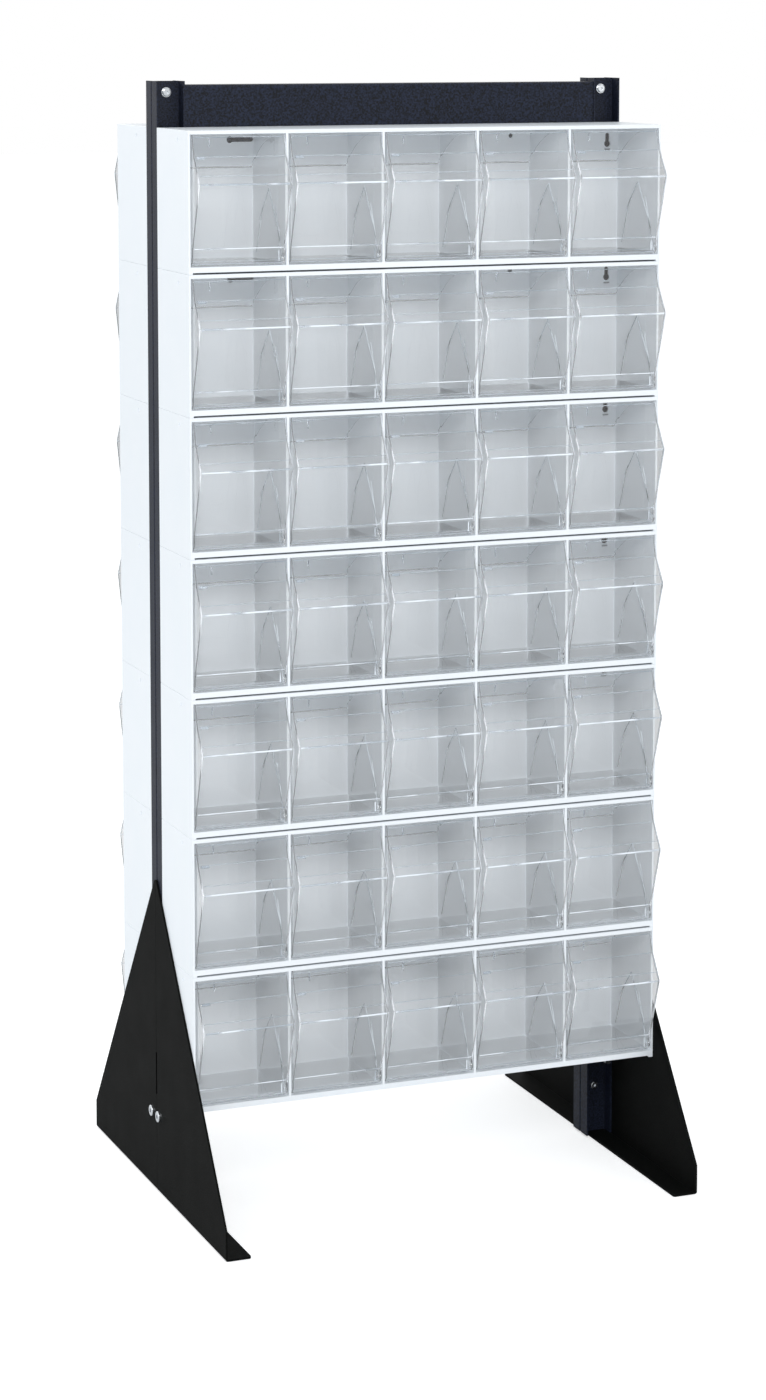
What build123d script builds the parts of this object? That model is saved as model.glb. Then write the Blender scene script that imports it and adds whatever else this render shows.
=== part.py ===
from build123d import *
import os
from math import atan2, cos, degrees, radians, sin, sqrt

# A free-standing rack with tip out bins on both of its sides. All sizes are in millimetres.
# X runs along a row of bins, -Y is the front and +Z is up.
# The origin is on the floor, under the middle of the stand.

# The racking of the cabinets
rows = 7
columns = 5
rack_bottom = 136.5
row_pitch = 165.1

# One white cabinet, open at the front, with a compartment for each bin
cabinet_width = 600.0
cabinet_depth = 115.0
jamb = 2.4
divider = 3.0
back_wall = 2.4
top_plate = 2.2
top_lip_height = 4.4
lip_depth = 2.6
floor_plate = 2.4
bottom_lip_height = 6.4
skirt_height = 2.0
skirt_width = 5.0
cabinet_edge_round = 0.5
stack_gap = 0.2

# Holes in a cabinet's back wall, measured from the opening's top edge and the cabinet's middle
keyhole_head_drop = 22.4
keyhole_head_diameter = 8.4
keyhole_slot_width = 5.6
keyhole_slot_length = 10.5
side_keyhole_x = -210.5
side_keyhole_length = 26.5
screw_hole_x = 152.0
screw_hole_diameter = 5.6
upper_hole_drop = 10.9
hanger_slot_drop = 29.4

# Small blind dimples in a cabinet's ends
dimple_diameter = 4.5
dimple_depth = 1.2
dimple_drop = 11.5
left_dimple_setback = 38.0
right_dimple_setback = 75.0

# One clear bin, which turns on two stub pins near its bottom front edge
bin_side_gap = 1.4
bin_wall = 1.9
bin_floor_gap = 0.4
bin_back_gap = 0.8
bin_bottom_round = 8.6
bin_lip_gap = 0.6
lower_band_height = 17.5
nose_height = 95.4
nose_reach = 25.4
nose_band = 2.4
nose_round = 0.9
upper_kink_height = 126.5
upper_kink_reach = 7.0
tip_angle = 42.0
stop_overlap = 1.6
stop_slack_angle = 0.25
stop_width_angle = 3.4
stop_root = 1.0
pin_diameter = 5.0
pin_clearance = 0.05
pin_engagement = 1.2
pin_hole_depth = 1.5
boss_diameter = 10.0
boss_height = 0.9

# The uprights, each of two steel channels set back to back
channel_width = 35.0
channel_depth = 20.0
channel_sheet = 2.0
channel_bend = 2.5
back_to_back_gap = 0.3
upright_rise = 54.0

# The crossbars between the uprights
crossbar_height = 76.0
crossbar_recess = 1.0
crossbar_drop = 4.6
lower_crossbar_rise = 20.0

# The leg plates, in pairs that meet under the middle of each upright
leg_sheet = 2.5
leg_height = 386.0
leg_reach = 254.0
leg_top_width = 3.0
toe_height = 35.5
foot_width = 31.5
leg_seam = 0.6
leg_slot_bottom = 121.0
leg_slot_length = 52.0
leg_slot_depth = 2.2
leg_bend = 3.0
foot_corner_round = 3.0

# Fasteners: a bolt's shank, head and nut
leg_bolt_diameter = 8.0
leg_bolt_head = 13.4
leg_bolt_head_height = 4.2
leg_bolt_height = 97.0
leg_bolt_offset = 13.0
frame_bolt_diameter = 5.0
frame_bolt_head = 9.8
frame_bolt_head_height = 3.4
recess_share = 0.35
joining_bolt_drop = 13.3
joining_bolt_rise = 60.0
crossbar_bolt_offset = 11.0
crossbar_bolt_rise = 15.0
bolt_hole_clearance = 0.2
thread_clearance = 0.05
nut_height_share = 0.8
nut_width_share = 1.7
bolt_tail = 1.5
head_round = 1.0

# The flat steel bars that carry the cabinets through the uprights
hanger_thickness = 1.6
hanger_width = 12.0
hanger_tongue_width = 7.0
hanger_tongue_tail = 1.2
hanger_slot_clearance = 0.4
hanger_end_gap = 0.3

# Sizes that follow from the ones above
rack_height = rows * row_pitch
upright_top = rack_bottom + rack_height + upright_rise
upright_x = (cabinet_width - channel_width) / 2
half_gap = back_to_back_gap / 2
rack_face = channel_depth + cabinet_depth
compartment_width = (cabinet_width - 2 * jamb - (columns - 1) * divider) / columns
compartment_pitch = compartment_width + divider
compartment_floor = skirt_height + bottom_lip_height
opening_height = row_pitch - stack_gap - compartment_floor - top_lip_height
opening_top = compartment_floor + opening_height
pivot_height = bin_bottom_round + bin_floor_gap
pivot_setback = bin_bottom_round
hanger_slot_height = hanger_thickness + hanger_slot_clearance
hanger_slot_top = opening_top - hanger_slot_drop + hanger_slot_height / 2

bin_width = compartment_width - 2 * bin_side_gap
bin_back = cabinet_depth - back_wall - pivot_setback - bin_back_gap
bin_floor_length = sqrt(bin_back**2 - bin_bottom_round**2)
lip_radius = sqrt((pivot_setback - lip_depth) ** 2 + (opening_height - pivot_height) ** 2)
lip_angle = degrees(atan2(pivot_setback - lip_depth, opening_height - pivot_height))
rim_radius = lip_radius - bin_lip_gap
rim_front_height = sqrt(rim_radius**2 - pivot_setback**2)
rim_back_height = sqrt(rim_radius**2 - bin_floor_length**2)
rim_front_angle = degrees(atan2(rim_front_height, pivot_setback))
rim_back_angle = degrees(atan2(rim_back_height, -bin_floor_length))

os.makedirs("parts", exist_ok=True)


def write(piece, name):
    """Labels a finished piece and writes it under its own name."""
    piece.part.label = name
    export_step(piece.part, f"parts/{name}.step")


def polar(radius, angle):
    """A point in the bin's side view, at an angle back from straight above the pivot."""
    return (-radius * sin(radians(angle)), radius * cos(radians(angle)))


# One cabinet, with its front face at Y = 0 and its base at Z = 0
with BuildPart() as cabinet:
    with BuildSketch(Plane.XZ) as front_view:
        with Locations((0, (row_pitch - stack_gap) / 2)):
            Rectangle(cabinet_width, row_pitch - stack_gap)
    extrude(amount=-cabinet_depth)
    long_edges = cabinet.edges().filter_by(Axis.Y)
    fillet(long_edges, cabinet_edge_round)
    with BuildSketch(Plane.XZ) as compartments:
        with Locations((0, compartment_floor + opening_height / 2)):
            with GridLocations(compartment_pitch, row_pitch, columns, 1):
                Rectangle(compartment_width, opening_height)
    extrude(amount=-(cabinet_depth - back_wall), mode=Mode.SUBTRACT)
    ceiling_height = top_lip_height - top_plate
    with BuildSketch(Plane.XZ.offset(-lip_depth)) as ceilings:
        with Locations((0, opening_top + ceiling_height / 2)):
            with GridLocations(compartment_pitch, row_pitch, columns, 1):
                Rectangle(compartment_width, ceiling_height)
    extrude(amount=-(cabinet_depth - back_wall - lip_depth), mode=Mode.SUBTRACT)
    with BuildSketch(Plane.XY) as under_cut:
        with Locations((0, cabinet_depth / 2)):
            Rectangle(cabinet_width - 2 * skirt_width, cabinet_depth)
    extrude(amount=skirt_height, mode=Mode.SUBTRACT)
    under_depth = cabinet_depth - lip_depth - back_wall
    with BuildSketch(Plane.XY.offset(skirt_height)) as under_hollow:
        with Locations((0, lip_depth + under_depth / 2)):
            Rectangle(cabinet_width - 2 * skirt_width, under_depth)
    extrude(amount=bottom_lip_height - floor_plate, mode=Mode.SUBTRACT)
    pin_hole_reach = cabinet_width / 2 - jamb + pin_hole_depth
    with BuildSketch(Plane.YZ.offset(-pin_hole_reach)) as pin_holes:
        with Locations((pivot_setback, compartment_floor + pivot_height)):
            Circle(pin_diameter / 2 + pin_clearance)
    extrude(amount=2 * pin_hole_reach, mode=Mode.SUBTRACT)
    with BuildSketch(Plane.XZ.offset(-cabinet_depth)) as back_holes:
        with Locations((-upright_x, 0), (upright_x, 0)):
            with Locations((0, opening_top - keyhole_head_drop)):
                Circle(keyhole_head_diameter / 2)
            with Locations((0, opening_top - keyhole_head_drop + keyhole_slot_length / 2)):
                SlotCenterToCenter(keyhole_slot_length, keyhole_slot_width, rotation=90)
            with Locations((0, opening_top - hanger_slot_drop)):
                Rectangle(hanger_tongue_width + hanger_slot_clearance, hanger_slot_height)
        with Locations((side_keyhole_x, opening_top - upper_hole_drop)):
            Circle(keyhole_head_diameter / 2)
        with Locations((side_keyhole_x + side_keyhole_length / 2, opening_top - upper_hole_drop)):
            SlotCenterToCenter(side_keyhole_length, keyhole_slot_width)
        with Locations((screw_hole_x, opening_top - upper_hole_drop)):
            Circle(screw_hole_diameter / 2)
    extrude(amount=back_wall, mode=Mode.SUBTRACT)
    with BuildSketch(Plane.YZ.offset(-cabinet_width / 2)) as left_dimple:
        with Locations((left_dimple_setback, row_pitch - dimple_drop)):
            Circle(dimple_diameter / 2)
    extrude(amount=dimple_depth, mode=Mode.SUBTRACT)
    with BuildSketch(Plane.YZ.offset(cabinet_width / 2)) as right_dimple:
        with Locations((right_dimple_setback, row_pitch - dimple_drop)):
            Circle(dimple_diameter / 2)
    extrude(amount=-dimple_depth, mode=Mode.SUBTRACT)


# One bin, closed, with its pivot at the origin. Its side view is drawn with x towards the front.
side_view = Plane(origin=(0, 0, 0), x_dir=(0, -1, 0), z_dir=(-1, 0, 0))
upper_kink = (pivot_setback + upper_kink_reach, upper_kink_height - pivot_height)
nose_top = (pivot_setback + nose_reach, nose_height - pivot_height + nose_band / 2)
nose_bottom = (pivot_setback + nose_reach, nose_height - pivot_height - nose_band / 2)
stop_front = tip_angle + stop_slack_angle - lip_angle
stop_back = stop_front + stop_width_angle
stop_radius = lip_radius + stop_overlap

with BuildPart() as tip_bin:
    with BuildSketch(side_view) as bin_side:
        with BuildLine() as bin_outline:
            CenterArc((0, 0), bin_bottom_round, -90, 90)
            Polyline(
                (pivot_setback, 0),
                (pivot_setback, lower_band_height - pivot_height),
                nose_bottom,
                nose_top,
                upper_kink,
                (pivot_setback, rim_front_height),
            )
            CenterArc((0, 0), rim_radius, rim_front_angle, rim_back_angle - rim_front_angle)
            Polyline(
                (-bin_floor_length, rim_back_height),
                (-bin_floor_length, -bin_bottom_round),
                (0, -bin_bottom_round),
            )
        make_face()
    extrude(amount=bin_width / 2, both=True)
    mouth = tip_bin.faces().filter_by(GeomType.CYLINDER).sort_by(SortBy.AREA)[-1]
    offset(amount=-bin_wall, openings=mouth, kind=Kind.INTERSECTION)
    nose_edges = tip_bin.edges().filter_by(Axis.X).group_by(Axis.Y)[0]
    fillet(nose_edges, nose_round)
    side_wall_middle = (bin_width - bin_wall) / 2
    for side in (-side_wall_middle, side_wall_middle):
        with BuildSketch(side_view.offset(side)) as stop_view:
            with BuildLine() as stop_outline:
                Polyline(
                    polar(rim_radius - stop_root, stop_front),
                    polar(stop_radius, stop_front),
                    polar(stop_radius, stop_back),
                    polar(rim_radius - stop_root, stop_back),
                    close=True,
                )
            make_face()
        extrude(amount=bin_wall / 2, both=True)
    for side, outward in ((-bin_width / 2, -1), (bin_width / 2, 1)):
        with BuildSketch(side_view.offset(side)) as boss_view:
            Circle(boss_diameter / 2)
        extrude(amount=outward * boss_height)
        with BuildSketch(side_view.offset(side)) as pin_view:
            Circle(pin_diameter / 2)
        extrude(amount=outward * (bin_side_gap + pin_engagement))


# Cabinets and bins in their places. Row 1 is the top row, and column 1 is the left one.
def row_base(row):
    return rack_bottom + (rows - row) * row_pitch


def column_x(column):
    return (column - (columns + 1) / 2) * compartment_pitch


turned = (0, 0, 180)
pivot_y = rack_face - pivot_setback
for row in range(1, rows + 1):
    with BuildPart() as front_cabinet:
        with Locations(Location((0, -rack_face, row_base(row)))):
            add(cabinet.part)
    write(front_cabinet, f"front_cabinet_row{row}")

with BuildPart() as rear_cabinets:
    for row in range(1, rows + 1):
        with Locations(Location((0, rack_face, row_base(row)), turned)):
            add(cabinet.part)
write(rear_cabinets, "rear_cabinets")

for row in range(1, rows + 1):
    pivot_z = row_base(row) + compartment_floor + pivot_height
    for column in range(1, columns + 1):
        with BuildPart() as front_bin:
            with Locations(Location((column_x(column), -pivot_y, pivot_z))):
                add(tip_bin.part)
        write(front_bin, f"front_bin_r{row}_c{column}")
    with BuildPart() as rear_bins:
        for column in range(1, columns + 1):
            with Locations(Location((column_x(column), pivot_y, pivot_z), turned)):
                add(tip_bin.part)
    write(rear_bins, f"rear_bins_row{row}")


# Levels and places that several pieces of the frame share
hanger_levels = []
for row in range(1, rows + 1):
    hanger_levels.append(row_base(row) + hanger_slot_top - hanger_thickness)
joining_levels = [
    leg_sheet + joining_bolt_rise,
    rack_bottom + rack_height / 2,
    upright_top - joining_bolt_drop,
]
crossbar_bases = {
    "top_crossbar": upright_top - crossbar_drop - crossbar_height,
    "lower_crossbar": rack_bottom + lower_crossbar_rise,
}
crossbar_bolt_levels = [base + crossbar_bolt_rise for base in crossbar_bases.values()]
upright_inside = cabinet_width / 2 - channel_width
web_face = half_gap + channel_sheet
leg_bolt_hole = leg_bolt_diameter / 2 + bolt_hole_clearance
frame_bolt_hole = frame_bolt_diameter / 2 + bolt_hole_clearance

# The front channel of the left upright, about X = 0, with its open side to the front
with BuildPart() as front_channel:
    with BuildSketch(Plane.XY.offset(leg_sheet)) as channel_section:
        with Locations((0, -(channel_depth + half_gap) / 2)):
            Rectangle(channel_width, channel_depth - half_gap)
        with Locations((0, -(channel_depth + web_face) / 2)):
            Rectangle(channel_width - 2 * channel_sheet, channel_depth - web_face, mode=Mode.SUBTRACT)
    extrude(amount=upright_top - leg_sheet)
    inner_bends = front_channel.edges().filter_by(Axis.Z).group_by(Axis.Y)[-2]
    fillet(inner_bends, channel_bend - channel_sheet)
    outer_bends = front_channel.edges().filter_by(Axis.Z).group_by(Axis.Y)[-1]
    fillet(outer_bends, channel_bend)
    with BuildSketch(Plane.XZ.offset(half_gap)) as web_holes:
        with Locations(*[(0, level + hanger_slot_height / 2) for level in hanger_levels]):
            Rectangle(hanger_width + hanger_slot_clearance, hanger_slot_height)
        with Locations(*[(0, level) for level in joining_levels]):
            Circle(frame_bolt_hole)
    extrude(amount=channel_sheet, mode=Mode.SUBTRACT)
    with BuildSketch(Plane.YZ.offset(-channel_width / 2)) as outer_flange_hole:
        with Locations((-leg_bolt_offset, leg_bolt_height)):
            Circle(leg_bolt_hole)
    extrude(amount=channel_sheet, mode=Mode.SUBTRACT)
    with BuildSketch(Plane.YZ.offset(channel_width / 2)) as inner_flange_holes:
        with Locations(*[(-crossbar_bolt_offset, level) for level in crossbar_bolt_levels]):
            Circle(frame_bolt_hole)
    extrude(amount=-channel_sheet, mode=Mode.SUBTRACT)

with BuildPart() as mirrored_channel:
    mirror(front_channel.part, about=Plane.YZ)

with BuildPart() as left_upright:
    with Locations(Location((-upright_x, 0, 0))):
        add(front_channel.part)
    with Locations(Location((-upright_x, 0, 0), turned)):
        add(mirrored_channel.part)
write(left_upright, "left_upright")

with BuildPart() as right_upright:
    with Locations(Location((upright_x, 0, 0))):
        add(mirrored_channel.part)
    with Locations(Location((upright_x, 0, 0), turned)):
        add(front_channel.part)
write(right_upright, "right_upright")


# Crossbars: folded channels, open below, with an end plate against each upright
crossbar_width = 2 * (channel_depth - crossbar_recess)
for name, base in crossbar_bases.items():
    with BuildPart() as crossbar:
        with BuildSketch(Plane.YZ.offset(-upright_inside)) as crossbar_section:
            with Locations((0, base + crossbar_height / 2)):
                Rectangle(crossbar_width, crossbar_height)
        extrude(amount=2 * upright_inside)
        fillet(crossbar.edges().filter_by(Axis.X).group_by(Axis.Z)[-1], channel_bend)
        inside_height = crossbar_height - channel_sheet
        with BuildSketch(Plane.YZ.offset(-upright_inside + channel_sheet)) as crossbar_inside:
            with Locations((0, base + inside_height / 2)):
                Rectangle(crossbar_width - 2 * channel_sheet, inside_height)
        extrude(amount=2 * (upright_inside - channel_sheet), mode=Mode.SUBTRACT)
        with BuildSketch(Plane.YZ.offset(-upright_inside)) as end_holes:
            with Locations((0, base + crossbar_bolt_rise)):
                with GridLocations(2 * crossbar_bolt_offset, 1, 2, 1):
                    Circle(frame_bolt_hole)
        extrude(amount=2 * upright_inside, mode=Mode.SUBTRACT)
    write(crossbar, name)


# The left front leg plate, with its foot turned in along the floor
with BuildPart() as front_leg:
    with BuildSketch(Plane.YZ.offset(-cabinet_width / 2 - leg_sheet)) as leg_side:
        with BuildLine() as leg_outline:
            Polyline(
                (-leg_seam / 2, 0),
                (-leg_seam / 2, leg_height),
                (-leg_seam / 2 - leg_top_width, leg_height),
                (-leg_reach, toe_height),
                (-leg_reach, 0),
                close=True,
            )
        make_face()
        with Locations((-(leg_seam + leg_slot_depth) / 2, leg_slot_bottom + leg_slot_length / 2)):
            Rectangle(leg_slot_depth, leg_slot_length, mode=Mode.SUBTRACT)
        with Locations((-leg_bolt_offset, leg_bolt_height)):
            Circle(leg_bolt_hole, mode=Mode.SUBTRACT)
    extrude(amount=leg_sheet)
    foot_length = leg_reach - leg_seam / 2
    foot_middle = -cabinet_width / 2 - leg_sheet + foot_width / 2
    with BuildSketch(Plane.XY) as foot_view:
        with Locations((foot_middle, -leg_seam / 2 - foot_length / 2)):
            Rectangle(foot_width, foot_length)
    extrude(amount=leg_sheet)
    fold = front_leg.edges().filter_by(Axis.Y).group_by(Axis.X)[0].sort_by(SortBy.LENGTH)[-1]
    fillet(fold, leg_bend)
    foot_corner = front_leg.edges().filter_by(Axis.Z).group_by(Axis.X)[-1].sort_by(Axis.Y)[0]
    fillet(foot_corner, foot_corner_round)

with BuildPart() as mirrored_leg:
    mirror(front_leg.part, about=Plane.YZ)

leg_places = {
    "left_front_leg": (front_leg, (0, 0, 0)),
    "right_front_leg": (mirrored_leg, (0, 0, 0)),
    "left_rear_leg": (mirrored_leg, turned),
    "right_rear_leg": (front_leg, turned),
}
for name, (plate, turn) in leg_places.items():
    with BuildPart() as leg:
        with Locations(Location((0, 0, 0), turn)):
            add(plate.part)
    write(leg, name)


def bolt_and_nut(diameter, head_diameter, head_height, grip):
    """A bolt whose head stands on the XY plane, with its nut a grip's length below."""
    nut_height = nut_height_share * diameter
    with BuildPart() as fastener:
        with BuildSketch() as head_view:
            Circle(head_diameter / 2)
        extrude(amount=head_height)
        fillet(fastener.edges().group_by(Axis.Z)[-1], head_round)
        with BuildSketch(Plane.XY.offset(head_height)) as recess_view:
            RegularPolygon(recess_share * diameter, 6)
        extrude(amount=-head_height / 2, mode=Mode.SUBTRACT)
        with BuildSketch() as shank_view:
            Circle(diameter / 2)
        extrude(amount=-(grip + nut_height + bolt_tail))
        with BuildSketch(Plane.XY.offset(-grip)) as nut_view:
            RegularPolygon(nut_width_share * diameter / 2, 6)
            Circle(diameter / 2 + thread_clearance, mode=Mode.SUBTRACT)
        extrude(amount=-nut_height)
    return fastener.part


leg_bolt = bolt_and_nut(
    leg_bolt_diameter, leg_bolt_head, leg_bolt_head_height, leg_sheet + channel_sheet
)
joining_bolt = bolt_and_nut(
    frame_bolt_diameter, frame_bolt_head, frame_bolt_head_height, 2 * web_face
)
crossbar_bolt = bolt_and_nut(
    frame_bolt_diameter, frame_bolt_head, frame_bolt_head_height, 2 * channel_sheet
)

with BuildPart() as frame_bolts:
    for side in (-1, 1):
        for offset_y in (-leg_bolt_offset, leg_bolt_offset):
            head_seat = (side * (cabinet_width / 2 + leg_sheet), offset_y, leg_bolt_height)
            with Locations(Plane(origin=head_seat, z_dir=(side, 0, 0))):
                add(leg_bolt)
        for level in joining_levels:
            head_seat = (side * upright_x, -web_face, level)
            with Locations(Plane(origin=head_seat, z_dir=(0, -1, 0))):
                add(joining_bolt)
        for level in crossbar_bolt_levels:
            for offset_y in (-crossbar_bolt_offset, crossbar_bolt_offset):
                head_seat = (side * (upright_inside - channel_sheet), offset_y, level)
                with Locations(Plane(origin=head_seat, z_dir=(-side, 0, 0))):
                    add(crossbar_bolt)
write(frame_bolts, "frame_bolts")


# Flat bars that pass through both webs of an upright and carry a cabinet on each tongue
tongue_reach = channel_depth + back_wall + hanger_tongue_tail
with BuildPart() as hanger:
    with BuildSketch() as hanger_view:
        Rectangle(hanger_width, 2 * (channel_depth - hanger_end_gap))
        Rectangle(hanger_tongue_width, 2 * tongue_reach)
    extrude(amount=hanger_thickness)

with BuildPart() as cabinet_hangers:
    for level in hanger_levels:
        with Locations((-upright_x, 0, level), (upright_x, 0, level)):
            add(hanger.part)
write(cabinet_hangers, "cabinet_hangers")
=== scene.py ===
from math import radians

import bmesh
import bpy
from mathutils import Matrix, Vector


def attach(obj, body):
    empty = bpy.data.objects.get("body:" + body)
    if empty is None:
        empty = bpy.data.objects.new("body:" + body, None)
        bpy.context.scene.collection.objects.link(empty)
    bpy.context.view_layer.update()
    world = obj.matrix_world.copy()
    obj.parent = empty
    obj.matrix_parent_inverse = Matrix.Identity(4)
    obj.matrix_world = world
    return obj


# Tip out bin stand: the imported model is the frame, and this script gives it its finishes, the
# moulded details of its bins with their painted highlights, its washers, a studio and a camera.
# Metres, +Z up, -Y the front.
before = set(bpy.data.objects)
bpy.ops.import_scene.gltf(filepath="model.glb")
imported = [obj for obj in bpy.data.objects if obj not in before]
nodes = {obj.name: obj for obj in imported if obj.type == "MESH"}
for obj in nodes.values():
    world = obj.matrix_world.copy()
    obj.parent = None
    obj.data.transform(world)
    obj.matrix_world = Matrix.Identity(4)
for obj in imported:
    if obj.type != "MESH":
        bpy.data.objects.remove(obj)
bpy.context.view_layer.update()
scene = bpy.context.scene
MM = 0.001

# Sizes in millimetres that the added pieces share with the model
ROWS = 7
COLUMNS = 5
BIN_PITCH = 119.64
BIN_WIDTH = 113.84
BIN_WALL = 1.9
FRONT_FACE = 135.0
RACK_BOTTOM = 136.5
ROW_PITCH = 165.1
OPENING_BOTTOM = 8.4
PIVOT_SETBACK = 8.6
PIVOT_HEIGHT = 9.0
BOTTOM_ROUND = 8.6
LOWER_BAND_HEIGHT = 17.5
NOSE_REACH = 25.4
NOSE_HEIGHT = 95.4
UPPER_KINK_REACH = 7.0
UPPER_KINK_HEIGHT = 126.5
RIM_FRONT_HEIGHT = 151.3
UPRIGHT_X = 282.5
UPRIGHT_TOP = 1346.2
WEB_FACE = 2.15
JOINING_BOLT_DROP = 13.3


def linear(code):
    """An sRGB hex colour as linear red, green, blue and alpha."""
    parts = [int(code[i:i + 2], 16) / 255 for i in (1, 3, 5)]
    return [c / 12.92 if c <= 0.04045 else ((c + 0.055) / 1.055) ** 2.4 for c in parts] + [1.0]


def add_node(tree, kind, sockets=None, **settings):
    """A new node with its settings. A socket's value is a number, a colour, a link or a node."""
    node = tree.nodes.new(kind)
    for name, value in settings.items():
        setattr(node, name, value)
    for name, value in (sockets or {}).items():
        if isinstance(value, bpy.types.Node):
            value = value.outputs[0]
        if isinstance(value, bpy.types.NodeSocket):
            tree.links.new(value, node.inputs[name])
        else:
            node.inputs[name].default_value = value
    return node


def new_material(name):
    """An empty material, its tree, its output node and its object coordinates."""
    material = bpy.data.materials.new(name)
    material.use_nodes = True
    tree = material.node_tree
    tree.nodes.clear()
    output = add_node(tree, "ShaderNodeOutputMaterial")
    place = add_node(tree, "ShaderNodeTexCoord").outputs["Object"]
    return material, tree, output, place


def per_mm(size_mm):
    """The scale of a pattern whose blotches are about that many millimetres apart."""
    return 1 / (size_mm * MM)


def moulded_polystyrene():
    """Injection-moulded white polystyrene: an even gloss with a faint, slow waviness."""
    material, tree, output, place = new_material("moulded_white_polystyrene")
    flow = add_node(
        tree, "ShaderNodeTexNoise", {"Vector": place, "Scale": per_mm(60), "Detail": 2.0}
    )
    haze = add_node(
        tree, "ShaderNodeTexNoise", {"Vector": place, "Scale": per_mm(9), "Detail": 4.0}
    )
    colour = add_node(
        tree,
        "ShaderNodeMix",
        {"Factor": flow, "A": linear("#EFF5FA"), "B": linear("#F4F8FC")},
        data_type="RGBA",
    ).outputs["Result"]
    gloss = add_node(
        tree, "ShaderNodeMapRange", {"Value": haze, "To Min": 0.3, "To Max": 0.42}
    )
    waviness = add_node(
        tree, "ShaderNodeBump", {"Height": flow, "Distance": 0.25 * MM, "Strength": 1.0}
    )
    shader = add_node(
        tree,
        "ShaderNodeBsdfPrincipled",
        {"Base Color": colour, "Roughness": gloss, "IOR": 1.59, "Normal": waviness},
    )
    tree.links.new(shader.outputs[0], output.inputs["Surface"])
    return material


def clear_styrene():
    """Clear moulded styrene acrylonitrile: water clear, glossy, with slight flow lines."""
    material, tree, output, place = new_material("clear_moulded_styrene")
    stretched = add_node(
        tree, "ShaderNodeMapping", {"Vector": place, "Scale": (1.0, 1.0, 0.35)}
    )
    flow = add_node(
        tree, "ShaderNodeTexNoise", {"Vector": stretched, "Scale": per_mm(22), "Detail": 1.0}
    )
    gloss = add_node(
        tree, "ShaderNodeMapRange", {"Value": flow, "To Min": 0.01, "To Max": 0.04}
    )
    waviness = add_node(
        tree, "ShaderNodeBump", {"Height": flow, "Distance": 0.008 * MM, "Strength": 1.0}
    )
    shader = add_node(
        tree,
        "ShaderNodeBsdfPrincipled",
        {
            "Base Color": linear("#FFFFFF"),
            "Roughness": gloss,
            "IOR": 1.5,
            "Transmission Weight": 1.0,
            "Normal": waviness,
        },
    )
    # Lamps and scattered light reach what stands behind the clear walls, and a ray that was
    # reflected once goes straight on, so that the edges don't turn black
    passing = add_node(tree, "ShaderNodeBsdfTransparent", {"Color": linear("#FFFFFF")})
    rays = add_node(tree, "ShaderNodeLightPath").outputs
    scattered = add_node(
        tree,
        "ShaderNodeMath",
        {0: rays["Is Shadow Ray"], 1: rays["Is Diffuse Ray"]},
        operation="MAXIMUM",
    )
    reflected = add_node(
        tree, "ShaderNodeMath", {0: rays["Glossy Depth"], 1: 0.5}, operation="GREATER_THAN"
    )
    straight = add_node(
        tree, "ShaderNodeMath", {0: scattered, 1: reflected}, operation="MAXIMUM"
    )
    mix = add_node(tree, "ShaderNodeMixShader", {"Fac": straight, 1: shader, 2: passing})
    tree.links.new(mix.outputs[0], output.inputs["Surface"])
    return material


def painted_highlight_styrene(name, cloudiest, clearest):
    """Clear styrene made milky white, for painted highlights on the bins' edges and creases.

    A noise makes the painted highlight whiter in some places than in others."""
    material, tree, output, place = new_material(name)
    # Noise that makes the painted highlight milkier in some places and clearer in others
    glow = add_node(
        tree, "ShaderNodeTexNoise", {"Vector": place, "Scale": per_mm(38), "Detail": 1.0}
    )
    clearness = add_node(
        tree,
        "ShaderNodeMapRange",
        {
            "Value": glow,
            "From Min": 0.42,
            "From Max": 0.58,
            "To Min": cloudiest,
            "To Max": clearest,
        },
    )
    shader = add_node(
        tree,
        "ShaderNodeBsdfPrincipled",
        {
            "Base Color": linear("#F1F8FF"),
            "Roughness": 0.22,
            "IOR": 1.5,
            "Transmission Weight": clearness,
        },
    )
    tree.links.new(shader.outputs[0], output.inputs["Surface"])
    return material


def powder_coat(name, dark, light, grain_mm, gloss, sheen):
    """Black polyester powder coat, baked on: a matt skin with a fine orange peel grain.

    The real grain is about half a millimetre, and it is drawn coarser so that it shows."""
    material, tree, output, place = new_material(name)
    grain = add_node(
        tree, "ShaderNodeTexNoise", {"Vector": place, "Scale": per_mm(grain_mm), "Detail": 2.0}
    )
    speckle = add_node(
        tree, "ShaderNodeMapRange", {"Value": grain, "From Min": 0.35, "From Max": 0.65}
    )
    patches = add_node(
        tree, "ShaderNodeTexNoise", {"Vector": place, "Scale": per_mm(45), "Detail": 2.0}
    )
    colour = add_node(
        tree,
        "ShaderNodeMix",
        {"Factor": speckle, "A": linear(dark), "B": linear(light)},
        data_type="RGBA",
    ).outputs["Result"]
    roughness = add_node(
        tree, "ShaderNodeMapRange", {"Value": patches, "To Min": gloss, "To Max": gloss + 0.12}
    )
    peel = add_node(
        tree, "ShaderNodeBump", {"Height": grain, "Distance": 0.25 * MM, "Strength": 1.0}
    )
    shader = add_node(
        tree,
        "ShaderNodeBsdfPrincipled",
        {
            "Base Color": colour,
            "Roughness": roughness,
            "Specular IOR Level": sheen,
            "Normal": peel,
        },
    )
    tree.links.new(shader.outputs[0], output.inputs["Surface"])
    return material


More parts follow.
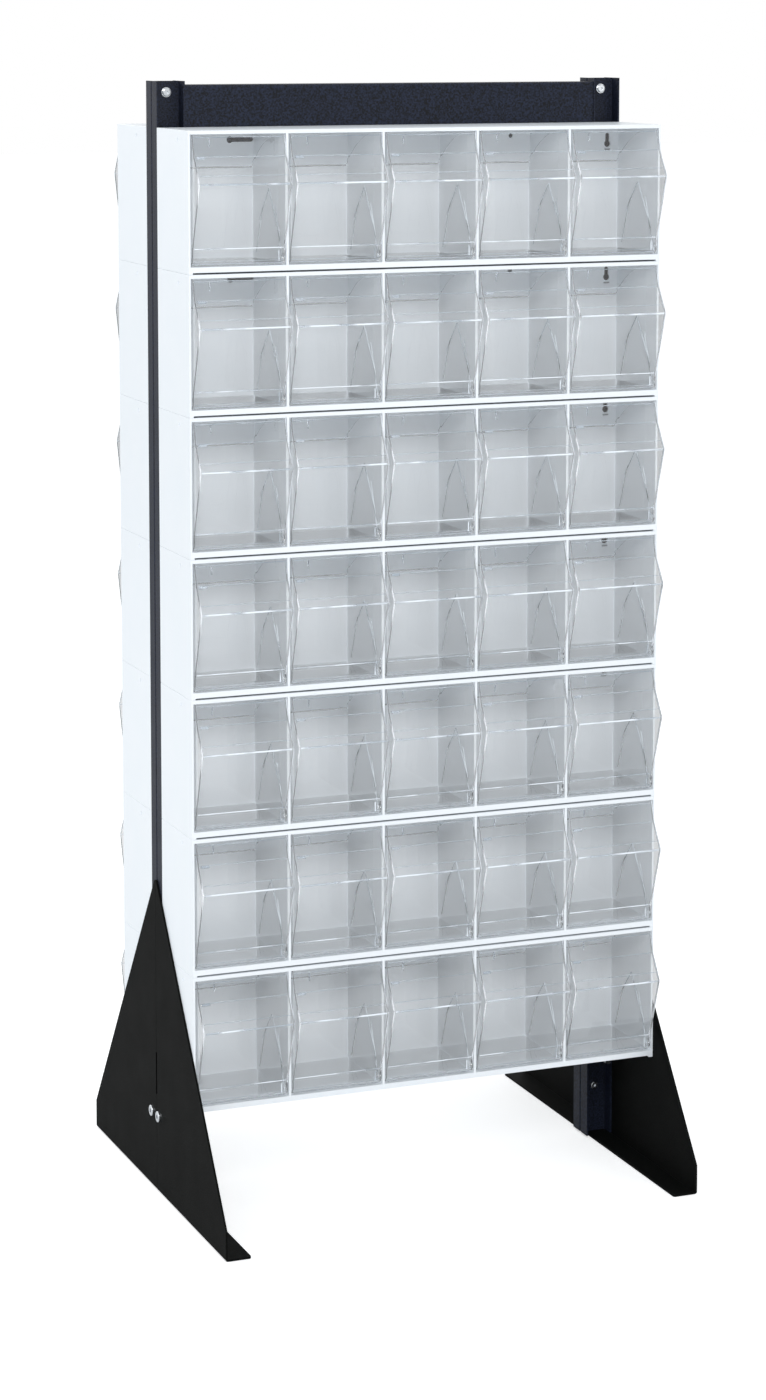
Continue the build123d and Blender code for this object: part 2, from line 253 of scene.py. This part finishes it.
def zinc_plate(name, colour, low, high):
    """Bright zinc plated steel: a soft silver mirror with slightly uneven gloss."""
    material, tree, output, place = new_material(name)
    patches = add_node(
        tree, "ShaderNodeTexNoise", {"Vector": place, "Scale": per_mm(2.5), "Detail": 3.0}
    )
    roughness = add_node(
        tree, "ShaderNodeMapRange", {"Value": patches, "To Min": low, "To Max": high}
    )
    unevenness = add_node(
        tree, "ShaderNodeBump", {"Height": patches, "Distance": 0.02 * MM, "Strength": 1.0}
    )
    shader = add_node(
        tree,
        "ShaderNodeBsdfPrincipled",
        {
            "Base Color": linear(colour),
            "Metallic": 1.0,
            "Roughness": roughness,
            "Normal": unevenness,
        },
    )
    tree.links.new(shader.outputs[0], output.inputs["Surface"])
    return material


white_plastic = moulded_polystyrene()
clear_plastic = clear_styrene()
# Painted highlights: milky styrene for the strips where the bins' clear fronts shine, one bright and
# one faint
bright_highlight_paint = painted_highlight_styrene("bright_highlight_painted_clear_styrene", 0.0, 0.85)
faint_highlight_paint = painted_highlight_styrene("faint_highlight_painted_clear_styrene", 0.72, 0.97)
upright_paint = powder_coat("textured_powder_coat_blue_black", "#04060C", "#20273A", 2.0, 0.46, 0.24)
leg_paint = powder_coat("fine_powder_coat_black", "#080909", "#111211", 1.4, 0.62, 0.05)
bolt_plate = zinc_plate("bright_zinc_plate", "#D5D9DD", 0.16, 0.3)
strip_plate = zinc_plate("dull_zinc_plate", "#A9ADB1", 0.35, 0.5)


BIN_EDGE_ROUND = 0.45
WELD_DISTANCE = 0.01


def rounded(node, width_mm, segments):
    """Rounds a node's sharp edges. Its mesh comes as loose triangles, so they are welded first."""
    weld = node.modifiers.new("weld", "WELD")
    weld.merge_threshold = WELD_DISTANCE * MM
    bevel = node.modifiers.new("rounded_edges", "BEVEL")
    bevel.width = width_mm * MM
    bevel.segments = segments
    bevel.limit_method = "ANGLE"
    bevel.angle_limit = radians(35)


for name, node in nodes.items():
    if "bin" in name and "cabinet" not in name:
        rounded(node, BIN_EDGE_ROUND, 2)
    if "hangers" in name:
        finish = strip_plate
    elif "cabinet" in name:
        finish = white_plastic
    elif "bin" in name:
        finish = clear_plastic
    elif "bolts" in name:
        finish = bolt_plate
    elif "leg" in name:
        finish = leg_paint
    else:
        finish = upright_paint
    for place in node.material_slots:
        place.material = finish


def finished(mesh, name, body, material):
    """A shown piece from a bmesh in millimetres. It rides on a body and takes a slot's finish."""
    bmesh.ops.recalc_face_normals(mesh, faces=mesh.faces)
    bmesh.ops.scale(mesh, vec=(MM, MM, MM), verts=mesh.verts)
    data = bpy.data.meshes.new(name)
    mesh.to_mesh(data)
    mesh.free()
    data.materials.append(material)
    piece = bpy.data.objects.new(name, data)
    scene.collection.objects.link(piece)
    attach(piece, body)
    return piece


def block(mesh, low, high, round_mm=0.0):
    """Adds a box between two corners, with rounded edges."""
    made = bmesh.ops.create_cube(mesh, size=1.0)["verts"]
    low, high = Vector(low), Vector(high)
    bmesh.ops.scale(mesh, vec=high - low, verts=made)
    bmesh.ops.translate(mesh, vec=(low + high) / 2, verts=made)
    if round_mm:
        edges = list({edge for vert in made for edge in vert.link_edges})
        bmesh.ops.bevel(
            mesh,
            geom=edges,
            offset=round_mm,
            offset_type="OFFSET",
            segments=2,
            profile=0.5,
            affect="EDGES",
            material=-1,
        )


# Lines on a bin's side view, as setbacks behind the front face and heights over the opening
FRONT_SLOPES = [
    (0.0, LOWER_BAND_HEIGHT),
    (-NOSE_REACH, NOSE_HEIGHT - 1.2),
    (-NOSE_REACH, NOSE_HEIGHT + 1.2),
    (-UPPER_KINK_REACH, UPPER_KINK_HEIGHT),
    (0.0, RIM_FRONT_HEIGHT),
]
ARCH_FRONT = [(6.0, 5.0), (16.0, 34.0), (51.0, 86.0)]
ARCH_BACK = [(51.0, 86.0), (74.0, 60.0), (94.0, 9.0)]
ARCH_DEPTH = 0.5
ARCH_FRONT_WIDTH = 1.26
ARCH_BACK_WIDTH = 0.9
ARCH_BEND = 9.0

# Painted highlight lines across a bin's front, milky strips where the front shines: height, width
# and how bright
PAINTED_HIGHLIGHT_LINES = [
    (NOSE_HEIGHT, 1.9, "bright"),
    (20.8, 1.1, "bright"),
    (105.3, 0.7, "faint"),
    (UPPER_KINK_HEIGHT, 0.7, "faint"),
    (148.7, 0.9, "faint"),
]
LINE_RISE = 0.2
LINE_END_GAP = 2.5

# Small ribs and marks in milky styrene, painted highlights where the bin's moulding shines: insets
# from the bin's nearer side, and heights over the opening
EDGE_RIB_INSET = 1.0
EDGE_RIB_DEPTH = 0.7
EDGE_RIB_BEND = 0.6
CORNER_RIB_INSETS = (8.6, 7.2)
CORNER_RIB_HEIGHTS = (5.5, 17.0)
CORNER_RIB_ROUND = 0.2
PAD_INSETS = (4.2, 14.6)
PAD_HEIGHTS = (123.4, 126.2)
PAD_OUT = 1.0
PAD_IN = 1.1
PAD_ROUND = 0.3
SHORT_RIB_INSETS = (21.0, 21.7)
SHORT_RIB_HEIGHTS = (138.2, 147.5)
SHORT_RIB_OUT = 3.0
SHORT_RIB_IN = 1.0
SHORT_RIB_ROUND = 0.15
ROUND_LINE_HEIGHTS = (3.1, 6.3)
ROUND_LINE_WIDTH = 0.6


def front_setback(height):
    """The setback of a bin's front surface at a height over the opening's bottom."""
    for (low_setback, low), (high_setback, high) in zip(FRONT_SLOPES, FRONT_SLOPES[1:]):
        if low <= height <= high:
            return low_setback + (high_setback - low_setback) * (height - low) / (high - low)
    return 0.0


def thicken_line(mesh, depth, width):
    """Makes the loose edges of a mesh a thin rib, which is that deep along X."""
    line = [edge for edge in mesh.edges if edge.is_wire]
    ribbon = bmesh.ops.extrude_edge_only(mesh, edges=line)["geom"]
    moved = [item for item in ribbon if isinstance(item, bmesh.types.BMVert)]
    bmesh.ops.translate(mesh, vec=(depth, 0, 0), verts=moved)
    faces = [item for item in ribbon if isinstance(item, bmesh.types.BMFace)]
    bmesh.ops.solidify(mesh, geom=faces, thickness=width)


def side_rib(mesh, x, floor_z, line, depth, width, bend):
    """A thin rib along a line of the side view, with its corners rounded by the bend."""
    points = [
        mesh.verts.new((x, setback - FRONT_FACE, floor_z + height)) for setback, height in line
    ]
    for first, second in zip(points, points[1:]):
        mesh.edges.new((first, second))
    bmesh.ops.bevel(
        mesh,
        geom=points[1:-1],
        offset=bend,
        offset_type="OFFSET",
        segments=3,
        profile=0.5,
        affect="VERTICES",
        material=-1,
    )
    thicken_line(mesh, depth, width)


def add_bright_painted_highlights(mesh, middle_x, row_base):
    """Bright painted highlights on one bin, as milky strips and ribs: its nose, its crease, its
    right edge, the front of its arch and its corner rib.
    """
    left, right = middle_x - BIN_WIDTH / 2, middle_x + BIN_WIDTH / 2
    floor_z = row_base + OPENING_BOTTOM
    add_cross_lines(mesh, left, right, floor_z, "bright")
    edge_x = right - EDGE_RIB_INSET
    side_rib(mesh, edge_x, floor_z, FRONT_SLOPES, EDGE_RIB_DEPTH, LINE_RISE, EDGE_RIB_BEND)
    arch_x = right - BIN_WALL
    side_rib(mesh, arch_x, floor_z, ARCH_FRONT, -ARCH_DEPTH, ARCH_FRONT_WIDTH, ARCH_BEND)
    corner_xs = [right - inset for inset in CORNER_RIB_INSETS]
    corner_ys = (-FRONT_FACE - LINE_RISE, -FRONT_FACE + LINE_RISE)
    raised_mark(mesh, corner_xs, corner_ys, floor_z, CORNER_RIB_HEIGHTS, CORNER_RIB_ROUND)


def add_faint_painted_highlights(mesh, middle_x, row_base):
    """Faint painted highlights on one bin, as milky strips and ribs: its low and upper lines, its
    pad, its short rib and the arch's back.
    """
    left, right = middle_x - BIN_WIDTH / 2, middle_x + BIN_WIDTH / 2
    floor_z = row_base + OPENING_BOTTOM
    add_cross_lines(mesh, left, right, floor_z, "faint")
    arch_x = right - BIN_WALL
    side_rib(mesh, arch_x, floor_z, ARCH_BACK, -ARCH_DEPTH, ARCH_BACK_WIDTH, ARCH_BEND)
    kink_y = -FRONT_FACE - UPPER_KINK_REACH
    pad_xs = [left + inset for inset in PAD_INSETS]
    pad_ys = (kink_y - PAD_OUT, kink_y + PAD_IN)
    raised_mark(mesh, pad_xs, pad_ys, floor_z, PAD_HEIGHTS, PAD_ROUND)
    for height in ROUND_LINE_HEIGHTS:
        drop = PIVOT_HEIGHT - height
        setback = PIVOT_SETBACK - (BOTTOM_ROUND**2 - drop**2) ** 0.5
        cross_line(mesh, left, right, setback, floor_z + height, ROUND_LINE_WIDTH)
    rib_xs = [left + inset for inset in SHORT_RIB_INSETS]
    rib_ys = (-FRONT_FACE - SHORT_RIB_OUT, -FRONT_FACE + SHORT_RIB_IN)
    raised_mark(mesh, rib_xs, rib_ys, floor_z, SHORT_RIB_HEIGHTS, SHORT_RIB_ROUND)


def raised_mark(mesh, xs, ys, floor_z, heights, round_mm):
    """A small raised block on a bin's front, between two values along each axis."""
    low = (xs[0], ys[0], floor_z + heights[0])
    high = (xs[1], ys[1], floor_z + heights[1])
    block(mesh, low, high, round_mm)


def cross_line(mesh, left, right, setback, z, width):
    """One thin raised line across a bin's front."""
    y = setback - FRONT_FACE
    block(
        mesh,
        (left + LINE_END_GAP, y - LINE_RISE, z - width / 2),
        (right - LINE_END_GAP, y + LINE_RISE, z + width / 2),
    )


def add_cross_lines(mesh, left, right, floor_z, strength):
    """The lines of one strength across a bin's front."""
    for height, width, how_bright in PAINTED_HIGHLIGHT_LINES:
        if how_bright == strength:
            cross_line(mesh, left, right, front_setback(height), floor_z + height, width)


HALF_TURN = Matrix.Rotation(radians(180), 3, "Z")
BIN_LINES = [("shine", add_bright_painted_highlights, bright_highlight_paint), ("faint_lines", add_faint_painted_highlights, faint_highlight_paint)]
# Each bin gets its painted highlights as two pieces, a bright one and a faint one, which ride on it
for row in range(1, ROWS + 1):
    row_base = RACK_BOTTOM + (ROWS - row) * ROW_PITCH
    for label, add_lines, material in BIN_LINES:
        rear = bmesh.new()
        for column in range(1, COLUMNS + 1):
            middle_x = (column - (COLUMNS + 1) / 2) * BIN_PITCH
            front = bmesh.new()
            add_lines(front, middle_x, row_base)
            name = f"front_bin_r{row}_c{column}"
            finished(front, f"{name}_{label}", name, material)
            add_lines(rear, middle_x, row_base)
        bmesh.ops.rotate(rear, matrix=HALF_TURN, verts=rear.verts)
        name = f"rear_bins_row{row}"
        finished(rear, f"{name}_{label}", name, material)


def add_washer(mesh, centre, axis, inner, outer, thickness):
    """A stamped washer that lies on the plane through its centre, on the axis's side."""
    ring = bmesh.ops.create_circle(mesh, segments=40, radius=inner)["verts"]
    inside = list({edge for vert in ring for edge in vert.link_edges})
    grown = bmesh.ops.extrude_edge_only(mesh, edges=inside)["geom"]
    outside = [item for item in grown if isinstance(item, bmesh.types.BMVert)]
    bmesh.ops.scale(mesh, vec=(outer / inner, outer / inner, 1), verts=outside)
    flat = [item for item in grown if isinstance(item, bmesh.types.BMFace)]
    raised = bmesh.ops.extrude_face_region(mesh, geom=flat)["geom"]
    top = [item for item in raised if isinstance(item, bmesh.types.BMVert)]
    bmesh.ops.translate(mesh, vec=(0, 0, thickness), verts=top)
    turn = Vector((0, 0, 1)).rotation_difference(Vector(axis)).to_matrix()
    everything = ring + outside + top
    bmesh.ops.rotate(mesh, matrix=turn, verts=everything)
    bmesh.ops.translate(mesh, vec=centre, verts=everything)


WASHER_BORE_RADIUS = 5.0
WASHER_RADIUS = 5.8
WASHER_THICKNESS = 0.9
washers = bmesh.new()
for side in (-1, 1):
    centre = (side * UPRIGHT_X, -WEB_FACE, UPRIGHT_TOP - JOINING_BOLT_DROP)
    add_washer(
        washers, centre, (0, -1, 0), WASHER_BORE_RADIUS, WASHER_RADIUS, WASHER_THICKNESS
    )
finished(washers, "joining_bolt_washers", "stand", bolt_plate)

# A pale floor that fades into a white background, and keeps the stand's soft shadow. It lies
# just under the feet, so that the two never share a plane. Metres.
FLOOR_HALF_WIDTH = 30
FLOOR_DROP = 0.0005
floor_mesh = bmesh.new()
bmesh.ops.create_grid(floor_mesh, x_segments=1, y_segments=1, size=FLOOR_HALF_WIDTH)
floor_data = bpy.data.meshes.new("floor")
floor_mesh.to_mesh(floor_data)
floor_mesh.free()
floor = bpy.data.objects.new("floor", floor_data)
floor.location.z = -FLOOR_DROP
scene.collection.objects.link(floor)
floor_paint, tree, output, place = new_material("white_studio_floor")
paint = add_node(
    tree,
    "ShaderNodeBsdfPrincipled",
    {"Base Color": linear("#F4F4F4"), "Roughness": 0.9, "Specular IOR Level": 0.1},
)
glow = add_node(tree, "ShaderNodeEmission", {"Color": linear("#FFFFFF"), "Strength": 0.5})
lit = add_node(tree, "ShaderNodeAddShader", {0: paint, 1: glow})
seen = add_node(tree, "ShaderNodeLightPath").outputs["Is Camera Ray"]
mixed = add_node(tree, "ShaderNodeMixShader", {"Fac": seen, 1: paint, 2: lit})
tree.links.new(mixed.outputs[0], output.inputs["Surface"])
floor_data.materials.append(floor_paint)

# The studio: an even pale surround, which sight, gloss and clear plastic see as white
world = bpy.data.worlds.new("studio")
scene.world = world
world.use_nodes = True
tree = world.node_tree
tree.nodes.clear()
output = add_node(tree, "ShaderNodeOutputWorld")
surround = add_node(tree, "ShaderNodeBackground", {"Color": linear("#F8FCFF"), "Strength": 0.65})
backdrop = add_node(tree, "ShaderNodeBackground", {"Color": linear("#FFFFFF"), "Strength": 1.0})
rays = add_node(tree, "ShaderNodeLightPath").outputs
direct = add_node(
    tree,
    "ShaderNodeMath",
    {0: rays["Is Camera Ray"], 1: rays["Is Glossy Ray"]},
    operation="MAXIMUM",
)
clear = add_node(
    tree, "ShaderNodeMath", {0: direct, 1: rays["Is Transmission Ray"]}, operation="MAXIMUM"
)
mixed = add_node(tree, "ShaderNodeMixShader", {"Fac": clear, 1: surround, 2: backdrop})
tree.links.new(mixed.outputs[0], output.inputs["Surface"])


def softbox(name, place, aim, width, power):
    """A square soft lamp in metres and watts, turned to face a point."""
    data = bpy.data.lights.new(name, "AREA")
    data.shape = "SQUARE"
    data.size = width
    data.energy = power
    lamp = bpy.data.objects.new(name, data)
    lamp.location = place
    towards = Vector(aim) - Vector(place)
    lamp.rotation_euler = towards.to_track_quat("-Z", "Y").to_euler()
    scene.collection.objects.link(lamp)


softbox("key_softbox", (-1.4, -4.3, 3.1), (0, 0, 0.75), 1.6, 98)
softbox("side_softbox", (-3.8, 0.7, 1.5), (-0.3, 0, 0.7), 2.0, 26)
softbox("fill_softbox", (2.4, -3.4, 1.2), (0, 0, 0.7), 1.6, 4)
softbox("back_softbox", (-0.8, 3.6, 3.0), (0, 0, 0.8), 2.4, 30)

# The camera stands to the left of the front, a little above the top of the stand. Its place,
# turn, lens and shift were fitted to the photograph's outline.
camera_data = bpy.data.cameras.new("camera")
camera_data.lens = 85.84
camera_data.shift_y = -0.23
camera = bpy.data.objects.new("camera", camera_data)
camera.location = (-1.5077, -3.7566, 1.42)
camera.rotation_euler = (radians(90 - 6.16), 0, radians(-21.78))
scene.collection.objects.link(camera)
scene.camera = camera
scene.view_settings.view_transform = "Standard"
